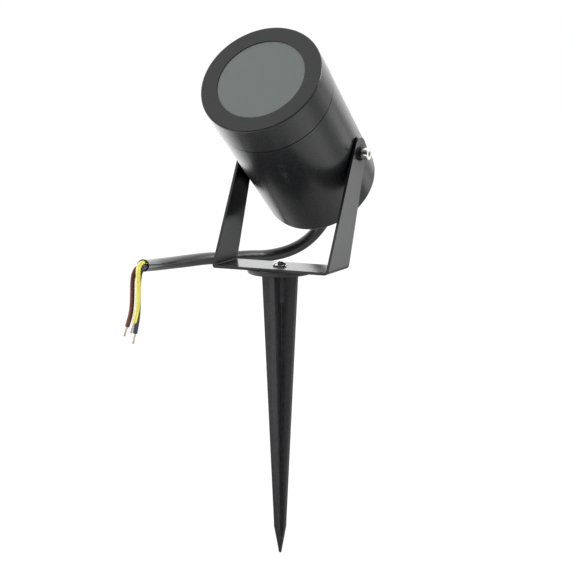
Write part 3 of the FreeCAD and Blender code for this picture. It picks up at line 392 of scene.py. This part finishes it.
BAND_BLUR = 0.04                        # radians each side of the band's edge


def recolour(material, share, code):
    """Turn a material's colour into another one, by the share that a node in its tree gives."""
    tree = material.node_tree
    base = tree.nodes["Principled BSDF"].inputs["Base Color"]
    mix = add(tree, "ShaderNodeMix", {"Factor": share, "A": base.links[0].from_socket, "B": colour(code)},
              data_type="RGBA")
    tree.links.new(mix.outputs["Result"], base)


core_finish = {
    name: surface("rubber_insulation_" + name, shades, (0.34, 0.44), [(0.9, 0.02), (0.3, 0.005)], 0.05,
                  {"IOR": 1.5, "Subsurface Weight": 0.05, "Subsurface Scale": 0.5 * MM}, along_cord)
    for name, shades in INSULATION.items()}

# the earth core's two colours lie side by side along its whole length
tree = core_finish["earth"].node_tree
place = add(tree, "ShaderNodeAttribute", attribute_name="cord_place").outputs["Vector"]
across = add(tree, "ShaderNodeSeparateXYZ", (place,)).outputs
angle = add(tree, "ShaderNodeMath", (across["Y"], across["X"]), operation="ARCTAN2")
angle = add(tree, "ShaderNodeMath", (angle,), operation="ABSOLUTE")
band = add(tree, "ShaderNodeMapRange", (angle, EARTH_GREEN_START - BAND_BLUR, EARTH_GREEN_START + BAND_BLUR))
recolour(core_finish["earth"], band, EARTH_GREEN)

sheath_end = Vector(CABLE_ROUTE[-1])
sheath_ahead = (sheath_end - Vector(CABLE_ROUTE[-2])).normalized()
sheath_across = sheath_ahead.cross(Vector((0, 0, 1))).normalized()
sheath_up = sheath_across.cross(sheath_ahead).normalized()


def in_sheath(angle, offset):
    """A place in the sheath's cut end, in mm, by its angle in degrees and its distance from the middle."""
    turn = math.radians(angle)
    return sheath_end + (sheath_across * math.cos(turn) + sheath_up * math.sin(turn)) * offset


core_ends = {}
for name, (angle, length, points) in CORES.items():
    first = in_sheath(angle, CORE_OFFSET)
    start = [first - sheath_ahead * CUT_DEPTH, first + sheath_ahead * CORE_EXIT_RUN]
    line = smooth_line(start + points, CORE_STEPS)
    core = hose("core_insulation_" + name, line, CORE_R, CORE_SIDES,
                [(STRIP_EDGE, CORE_R), (0.0, CORE_R - STRIP_EDGE), (0.0, WIRE_R + WIRE_ROOM),
                 (STRIP_DEPTH, WIRE_R + WIRE_ROOM_INSIDE)])
    core.data.materials.append(core_finish[name])
    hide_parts("core_" + name)
    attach(core, "yoke")
    core_ends[name] = (core, length, line)

# ---------------------------------------------------------------- stranded wire ends
# Each core is bared for its last few millimetres: nineteen plain copper strands, laid as 1 + 6 + 12 and
# twisted, a little spread at the cut where the stripping tool pulled them. The drawn copper is pale and dull.
STRAND_R = 0.125
STRAND_COUNT = 19
STRAND_SIDES, STRAND_STEPS = 7, 18
TWIST_PER_MM = 0.16       # radians
SPLAY = 0.14              # of a strand's distance from the middle, at the cut
SPLAY_POWER = 3.0         # the spread grows by this power of the way along
SHORTEST_STRAND = 0.93    # of the longest
HIDDEN_RUN = 0.45         # inside the insulation
BARE_LENGTHS = {"brown": 6.0, "earth": 6.6, "blue": 6.6}
copper = surface("drawn_copper_wire", ("#cfc5b2", "#dfd7c7"), (0.32, 0.46), [(0.5, 0.004), (0.15, 0.003)], 0.02,
                 {"Metallic": 1.0})

strands = bpy.data.node_groups.new("laid_strands", "GeometryNodeTree")
strands.interface.new_socket("Geometry", in_out="INPUT", socket_type="NodeSocketGeometry")
strand_inputs = {name: strands.interface.new_socket(name, in_out="INPUT", socket_type=kind).identifier
                 for name, kind in (("Length", "NodeSocketFloat"), ("Strand Radius", "NodeSocketFloat"),
                                    ("Twist", "NodeSocketFloat"), ("Splay", "NodeSocketFloat"),
                                    ("Seed", "NodeSocketInt"), ("Material", "NodeSocketMaterial"))}
strands.interface.new_socket("Geometry", in_out="OUTPUT", socket_type="NodeSocketGeometry")
given = add(strands, "NodeGroupInput").outputs

# the strands' seats: one in the middle, a ring of six and a ring of twelve
index = add(strands, "GeometryNodeInputIndex")
past_middle = add(strands, "ShaderNodeMath", (index, 0.5), operation="GREATER_THAN")
past_six = add(strands, "ShaderNodeMath", (index, 6.5), operation="GREATER_THAN")
ring = add(strands, "ShaderNodeMath", (past_middle, past_six), operation="ADD")
first_of_ring = add(strands, "ShaderNodeMath", (past_six, 6.0, past_middle), operation="MULTIPLY_ADD")
place_in_ring = add(strands, "ShaderNodeMath", (index, first_of_ring), operation="SUBTRACT")
ring_or_one = add(strands, "ShaderNodeMath", (ring, 1.0), operation="MAXIMUM")
step = add(strands, "ShaderNodeMath", (math.tau / 6, ring_or_one), operation="DIVIDE")
turn = add(strands, "ShaderNodeMath", (place_in_ring, step), operation="MULTIPLY")
strand_width = add(strands, "ShaderNodeMath", (given["Strand Radius"], 2.0), operation="MULTIPLY")
reach = add(strands, "ShaderNodeMath", (ring, strand_width), operation="MULTIPLY")
cosine, sine = [add(strands, "ShaderNodeMath", (turn,), operation=wave) for wave in ("COSINE", "SINE")]
spot = add(strands, "ShaderNodeCombineXYZ",
           [add(strands, "ShaderNodeMath", (reach, wave), operation="MULTIPLY") for wave in (cosine, sine)])
seats = add(strands, "GeometryNodePoints", {"Count": STRAND_COUNT, "Position": spot})

# a straight line on each seat, cut to its own length, then spread at its end and twisted
run_end = add(strands, "ShaderNodeCombineXYZ", {"Z": given["Length"]})
run = add(strands, "GeometryNodeCurvePrimitiveLine", {"End": run_end})
run = add(strands, "GeometryNodeResampleCurve", {"Curve": run, "Count": STRAND_STEPS})
stretch = add(strands, "FunctionNodeRandomValue", {2: SHORTEST_STRAND, 3: 1.0, "Seed": given["Seed"]},
              data_type="FLOAT")
stretch = add(strands, "ShaderNodeCombineXYZ", (1.0, 1.0, stretch.outputs[1]))
laid = add(strands, "GeometryNodeInstanceOnPoints", {"Points": seats, "Instance": run, "Scale": stretch})
laid = add(strands, "GeometryNodeRealizeInstances", (laid,))
where = add(strands, "GeometryNodeInputPosition")
along = add(strands, "ShaderNodeSeparateXYZ", (where,)).outputs["Z"]
share = add(strands, "ShaderNodeMath", (along, given["Length"]), operation="DIVIDE")
share = add(strands, "ShaderNodeMath", (share, SPLAY_POWER), operation="POWER")
flare = add(strands, "ShaderNodeMath", (given["Splay"], share, 1.0), operation="MULTIPLY_ADD")
flare = add(strands, "ShaderNodeCombineXYZ", (flare, flare, 1.0))
moved = add(strands, "ShaderNodeVectorMath", (where, flare), operation="MULTIPLY")
twist = add(strands, "ShaderNodeMath", (along, given["Twist"]), operation="MULTIPLY")
moved = add(strands, "ShaderNodeVectorRotate", {"Vector": moved, "Angle": twist}, rotation_type="Z_AXIS")
laid = add(strands, "GeometryNodeSetPosition", {"Geometry": laid, "Position": moved})
section = add(strands, "GeometryNodeCurvePrimitiveCircle",
              {"Resolution": STRAND_SIDES, "Radius": given["Strand Radius"]})
laid = add(strands, "GeometryNodeCurveToMesh", {"Curve": laid, "Profile Curve": section, "Fill Caps": True})
laid = add(strands, "GeometryNodeSetShadeSmooth", {"Geometry": laid})
laid = add(strands, "GeometryNodeRealizeInstances", {"Geometry": laid})
laid = add(strands, "GeometryNodeSetMaterial", {"Geometry": laid, "Material": given["Material"]})
add(strands, "NodeGroupOutput", (laid,))


def grown(name, tree, identifiers, values):
    """Run a geometry tree with these input values and keep its result as a plain mesh object."""
    carrier = bpy.data.objects.new(name + "_seed", bpy.data.meshes.new(name + "_seed"))
    scene.collection.objects.link(carrier)
    modifier = carrier.modifiers.new("grow", "NODES")
    modifier.node_group = tree
    for key, value in values.items():
        modifier[identifiers[key]] = value
    mesh = bpy.data.meshes.new_from_object(carrier.evaluated_get(bpy.context.evaluated_depsgraph_get()))
    bpy.data.objects.remove(carrier)
    mesh.name = name
    piece = bpy.data.objects.new(name, mesh)
    scene.collection.objects.link(piece)
    return piece


for seed, (name, (core, length, line)) in enumerate(core_ends.items()):
    wire = grown("stranded_wire_" + name, strands, strand_inputs,
                 {"Length": (BARE_LENGTHS[name] + HIDDEN_RUN) * MM, "Strand Radius": STRAND_R * MM,
                  "Twist": TWIST_PER_MM / MM, "Splay": SPLAY, "Seed": seed, "Material": copper})
    ahead = (line[-1] - line[-2]).normalized()
    wire.data.transform(Matrix.Translation(line[-1] - ahead * HIDDEN_RUN * MM)
                        @ ahead.to_track_quat("Z", "Y").to_matrix().to_4x4())
    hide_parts("wire_" + name)
    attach(wire, "yoke")

# ---------------------------------------------------------------- fillers in the cable's cut end
# Twisted cotton threads that fill the gaps between the cores and the sheath. Cut with the sheath, their
# pale, matt ends stand a little out of it and lean apart.
THREAD_R = 0.26
THREAD_SIDES, THREAD_LINE_STEPS = 10, 6
THREAD_STAND = 0.5
THREAD_LEAN = 0.12
THREAD_CUT, THREAD_FLAT = 0.05, 0.6     # rounding of a thread's end, and what it leaves flat of its radius
THREADS = ((270, 2.25), (262, 1.75), (25, 2.3), (150, 2.3), (282, 1.7))    # angle, distance from the middle
cotton = surface("twisted_cotton_filler", ("#b9b7b0", "#dcdad3"), (0.8, 0.95), [(0.3, 0.04), (0.12, 0.02)],
                 0.02)
for k, (angle, offset) in enumerate(THREADS):
    foot = in_sheath(angle, offset)
    lean = (foot - sheath_end).normalized() * THREAD_LEAN * (k - len(THREADS) // 2)
    line = smooth_line([foot - sheath_ahead * CUT_DEPTH, foot, foot + sheath_ahead * THREAD_STAND + lean],
                       THREAD_LINE_STEPS)
    thread = hose("filler_thread_%d" % (k + 1), line, THREAD_R, THREAD_SIDES,
                  [(THREAD_CUT, THREAD_R), (0.0, THREAD_R * THREAD_FLAT)])
    thread.data.materials.append(cotton)
    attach(thread, "yoke")

# ---------------------------------------------------------------- ground spike
# Injection-moulded black polypropylene: a round flange, four fins in a cross and a boss for the base screw.
# The mould is spark-eroded, which leaves a fine matt grain over a faint ripple.


def dress(material, *names):
    """Give pieces of the frame their material."""
    for name in names:
        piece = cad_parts[name]
        if not piece.material_slots:
            piece.data.materials.append(material)
        for slot in piece.material_slots:
            slot.material = material


dress(surface("moulded_polypropylene", ("#161618", "#313134"), (0.42, 0.6), [(6.0, 0.08), (1.8, 0.06)], 0.5,
              {"IOR": 1.49}), "stake")

# ---------------------------------------------------------------- base screw
# Zinc-plated steel pan head with a cross recess, driven down through the strip into the spike.
# The plating is passivated clear and reflects like a blurred mirror.
zinc_plate = surface("bright_zinc_plate", ("#d9dbdc", "#f4f5f3"), (0.06, 0.14), [(1.2, 0.01), (0.3, 0.002)],
                     0.12, {"Metallic": 1.0})
dress(zinc_plate, "base_screw")

# ---------------------------------------------------------------- U bracket
# Mild-steel strip, laser cut, bent twice and powder coated after bending. The coat is satin, with a slight
# orange peel, and it rounds every cut edge a little. Inside the bends it is darkened and loses its shine,
# which is painted shade.
# colour of the painted shade in seams, bends and corners
PAINTED_CREVICE_SHADE = "#060606"
PLAIN_SHINE = 0.5
BEND_REACH, BEND_OPEN = 7.0 * MM, (0.55, 0.92)


def paint_shade_where_closed(material, reach, open_share):
    """Paint shade into a coat in its seams and corners: darken its colour and take its shine away there.

    The node measures the share of open space within reach of each point. From the first open_share down the
    painted shade is full, and from the second one up the coat is as it was.
    """
    tree = material.node_tree
    openness = add(tree, "ShaderNodeAmbientOcclusion", {"Distance": reach}, samples=8).outputs["AO"]
    closed = add(tree, "ShaderNodeMapRange", (openness, *open_share, 1.0, 0.0))
    recolour(material, closed, PAINTED_CREVICE_SHADE)
    shine = add(tree, "ShaderNodeMapRange", (closed, 0.0, 1.0, PLAIN_SHINE, 0.0))
    tree.links.new(shine.outputs[0], tree.nodes["Principled BSDF"].inputs["Specular IOR Level"])


strip_coat = surface("powder_coated_strip", ("#1c1d1e", "#242527"), (0.15, 0.21), [(2.2, 0.012), (0.3, 0.004)],
                     0.15, {"IOR": 1.5})
# painted shade inside the bends and the bracket's corners
paint_shade_where_closed(strip_coat, BEND_REACH, BEND_OPEN)
dress(strip_coat, "bracket")

# ---------------------------------------------------------------- pivot hardware
# On each side a blackened flat washer and spring washer under a stainless socket-cap screw.
# The tumbled screw heads are bright, the oxide is almost black with a brown cast.
dress(surface("black_oxide_steel", ("#1d1c18", "#34322a"), (0.38, 0.55), [(0.8, 0.008), (0.2, 0.004)], 0.1,
              {"Metallic": 0.8}), "spring_washer_right", "spring_washer_left")
dress(surface("passivated_steel_washer", ("#4b4b42", "#68685c"), (0.3, 0.42), [(0.8, 0.008), (0.2, 0.004)], 0.1,
              {"Metallic": 0.9}), "flat_washer_right", "flat_washer_left")
dress(surface("tumbled_stainless_steel", ("#d0d0ca", "#f0f0ea"), (0.08, 0.16), [(0.9, 0.006), (0.2, 0.002)],
              0.12, {"Metallic": 1.0}), "tilt_screw_right", "tilt_screw_left")

# ---------------------------------------------------------------- head: cast body and front ring
# Aluminium castings, turned on their outsides, shot-blasted and powder coated satin black.
# In the open seam between them painted shade darkens the coat and takes its shine away, so the seam
# reads as a dark line.
SEAM_REACH, SEAM_OPEN = 1.6 * MM, (0.75, 0.98)
casting_coat = surface("powder_coated_casting", ("#19191b", "#202123"), (0.24, 0.3),
                       [(2.6, 0.012), (0.3, 0.004)], 0.12, {"IOR": 1.5})
# painted shade in the seam between body and ring
paint_shade_where_closed(casting_coat, SEAM_REACH, SEAM_OPEN)
dress(casting_coat, "housing", "bezel")

# ---------------------------------------------------------------- screw thread between them
# A right-hand thread of 2 mm pitch, turned on the body's spigot and inside the front ring after coating, so
# it is bare, bright aluminium. The two ridges run half a pitch apart.
HEAD_TILT = math.radians(39.2)
PIVOT = Vector((0, 29.6, 65.75)) * MM
PIVOT_BACK = 69.5         # behind the ring's front face
HEAD_PLACE = Matrix.Translation(PIVOT) @ Matrix.Rotation(-HEAD_TILT, 4, "X")
THREAD_PITCH = 2.0
TURN_STEPS = 72
RIDGE_HALF = 0.75         # at its root
CREST_HALF = 0.15
FADE_START = 0.1          # of the full height, at a ridge's ends
FADE_RATE = 8             # full heights in each turn
machined_aluminium = surface("machined_aluminium", ("#a9abad", "#c6c8c9"), (0.22, 0.34),
                             [(0.6, 0.004), (0.15, 0.002)], 0.05, {"Metallic": 1.0})
# name, body, where the ridge starts behind the ring's front face, turns, and the radii of its root and crest
RIDGES = (("spigot_thread", "head", 14.0, 3.2, 30.95, 31.48),
          ("ring_thread", "ring", 14.9, 3.6, 31.6, 31.1))
for name, body, start, turns, root_r, crest_r in RIDGES:
    steps = int(turns * TURN_STEPS)
    vertices = []
    for k in range(steps + 1):
        turn = math.tau * k / TURN_STEPS
        back = start - THREAD_PITCH * k / TURN_STEPS - PIVOT_BACK
        fade = min(1.0, FADE_START + FADE_RATE * min(k, steps - k) / TURN_STEPS)
        crest = root_r + (crest_r - root_r) * fade
        crest_half = CREST_HALF * fade
        for offset, radius in ((-RIDGE_HALF, root_r), (-crest_half, crest), (crest_half, crest),
                               (RIDGE_HALF, root_r)):
            across, up = radius * math.cos(turn), radius * math.sin(turn)
            vertices.append(HEAD_PLACE @ (Vector((across, back + offset, up)) * MM))
    faces = [(4 * k + a, 4 * k + (a + 1) % 4, 4 * k + 4 + (a + 1) % 4, 4 * k + 4 + a)
             for k in range(steps) for a in range(4)]
    faces += [(0, 1, 2, 3), tuple(4 * steps + a for a in range(4))]
    ridge = finish_mesh(name, vertices, faces)
    ridge.data.materials.append(machined_aluminium)
    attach(ridge, body)

# ---------------------------------------------------------------- front glass
# Toughened soda-lime glass, 4 mm thick, held between the ring's lip and the gasket.
# It is frosted on its inner face, so the lamp behind it shows as an even grey.
dress(surface("frosted_toughened_glass", ("#606664", "#676d6b"), (0.3, 0.38), [(1.5, 0.002), (0.25, 0.003)],
              0.2, {"IOR": 1.52}), "front_glass")

# ---------------------------------------------------------------- seals
# Moulded silicone: the glass gasket, the ring's O-ring, and the gland's sleeve and flat ring.
# It is black, soft and evenly dull.
dress(surface("moulded_silicone_rubber", ("#161617", "#1f1f20"), (0.5, 0.62), [(1.2, 0.01), (0.25, 0.006)],
              0.12, {"IOR": 1.43}), "glass_gasket", "bezel_o_ring", "gland_seal", "gland_ring")

# ---------------------------------------------------------------- lamp
# 50 mm reflector lamp: glossy white body, and a clear pressed lens, slightly rippled, over its mirror.
# Its two pins are turned brass, nickel plated, with a warm grey shine.
dress(surface("white_lamp_ceramic", ("#dcdcd8", "#ececea"), (0.28, 0.38), [(3.0, 0.02), (0.4, 0.004)], 0.3,
              {"IOR": 1.5}), "lamp_body")
dress(surface("pressed_clear_glass", ("#f2f5f5", "#ffffff"), (0.03, 0.08), [(2.4, 0.15), (0.8, 0.02)], 0.2,
              {"IOR": 1.5, "Transmission Weight": 0.95}), "lamp_lens")
dress(surface("nickel_plated_brass", ("#c4beb0", "#dcd7cb"), (0.16, 0.28), [(0.8, 0.006), (0.2, 0.002)], 0.1,
              {"Metallic": 1.0}), "lamp_pins", "terminal_screws")

# ---------------------------------------------------------------- lamp holder on its strap
# Holder of pressed steatite, unglazed and matt, on a strap of bare zinc-plated sheet steel.
# Slotted machine screws, zinc plated like the base screw, hold both.
dress(surface("pressed_steatite", ("#dedad0", "#ebe8e0"), (0.6, 0.75), [(1.5, 0.03), (0.25, 0.01)], 0.25,
              {"IOR": 1.6}), "lamp_holder")
dress(surface("zinc_plated_sheet", ("#a9adb0", "#c3c6c6"), (0.24, 0.36), [(2.5, 0.01), (0.3, 0.003)], 0.12,
              {"Metallic": 1.0}), "holder_plate")
dress(zinc_plate, "holder_screws", "plate_screws", "block_screw")

# ---------------------------------------------------------------- terminal block and wiring
# Block of moulded white nylon, slightly waxy, with brass poles. Brown and blue silicone-covered leads come
# from the holder, and the flex's own cores from the gland. The earth core is green on its right side.
GREEN_FROM = (0.3 * MM, 0.4 * MM)       # to the right of the head's middle
dress(surface("moulded_white_nylon", ("#dedcd4", "#e9e7e0"), (0.4, 0.52), [(2.0, 0.02), (0.3, 0.006)], 0.2,
              {"IOR": 1.53}), "terminal_block")
lead_finish = {name: surface("silicone_lead_" + name, INSULATION[core], (0.4, 0.5), [(0.8, 0.01), (0.2, 0.004)],
                             0.05, {"IOR": 1.43})
               for name, core in (("brown", "brown"), ("blue", "blue"), ("green_yellow", "earth"))}
tree = lead_finish["green_yellow"].node_tree
where = add(tree, "ShaderNodeTexCoord").outputs["Object"]
side = add(tree, "ShaderNodeSeparateXYZ", (where,)).outputs["X"]
recolour(lead_finish["green_yellow"], add(tree, "ShaderNodeMapRange", (side, *GREEN_FROM)), EARTH_GREEN)
dress(lead_finish["brown"], "holder_lead_brown", "inner_core_brown")
dress(lead_finish["blue"], "holder_lead_blue", "inner_core_blue")
dress(lead_finish["green_yellow"], "inner_core_earth")

# ---------------------------------------------------------------- cable gland
# Moulded black nylon gland in a satin finish: hexagonal base, slotted spout, domed nut and thin lock nut.
# It grips the captive end of the rubber cable, which keeps its dull bloom.
dress(surface("moulded_black_nylon", ("#171718", "#202021"), (0.36, 0.48), [(2.0, 0.015), (0.3, 0.008)], 0.2,
              {"IOR": 1.53}), "gland_body", "gland_nut", "gland_locknut")
dress(surface("rubber_sheath_stub", *RUBBER), "cable_stub")
